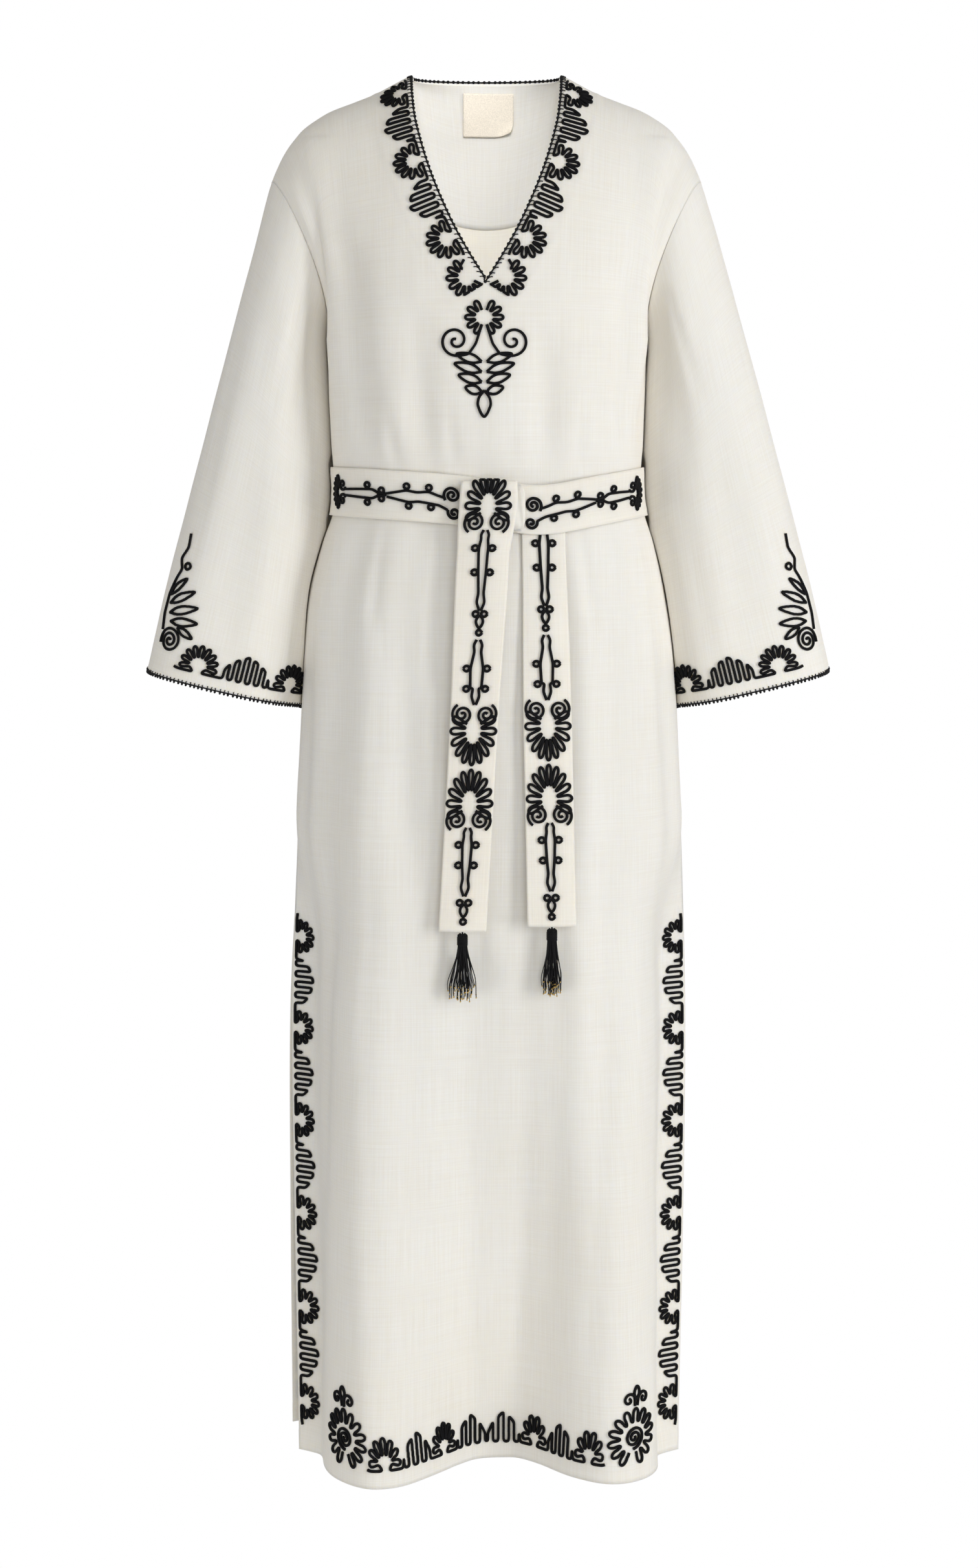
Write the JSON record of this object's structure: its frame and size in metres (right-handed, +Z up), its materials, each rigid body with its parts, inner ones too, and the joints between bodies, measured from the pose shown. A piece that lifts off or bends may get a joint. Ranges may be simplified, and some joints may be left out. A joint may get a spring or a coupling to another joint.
{
  "type": "kaftan",
  "caption": "Long ivory linen kaftan with a V neck, wide sleeves and side slits, filled out as worn, with its embroidered belt tied at the waist and black tassels.",
  "frame": {"origin": "midway between the shoulders, 20 mm below the points where the neck edge crosses them, where the wearer carries the garment", "axes": "+Z up, -Y out of the garment's front, +X to the right of somebody who looks at the front"},
  "size_m": [0.6789, 0.2882, 1.3475],
  "materials": {
    "linen": "plain woven, with slubs, matte",
    "black_thread": "twisted cord, slight sheen",
    "label_tape": "smooth woven tape, matte"
  },
  "bodies": {
    "root": {"front_bodice": "linen", "front_skirt": "linen", "back_bodice": "linen", "back_skirt": "linen", "sleeve_left": "linen", "sleeve_right": "linen", "cuff_edging_left": "black_thread", "cuff_edging_right": "black_thread", "neck_edging": "black_thread", "back_neck_facing": "linen", "neck_label": "label_tape", "belt_band": "linen", "belt_knot": "linen", "belt_tail_left": "linen", "belt_tail_right": "linen", "tassel_left": "black_thread", "tassel_right": "black_thread"}
  },
  "joints": []
}
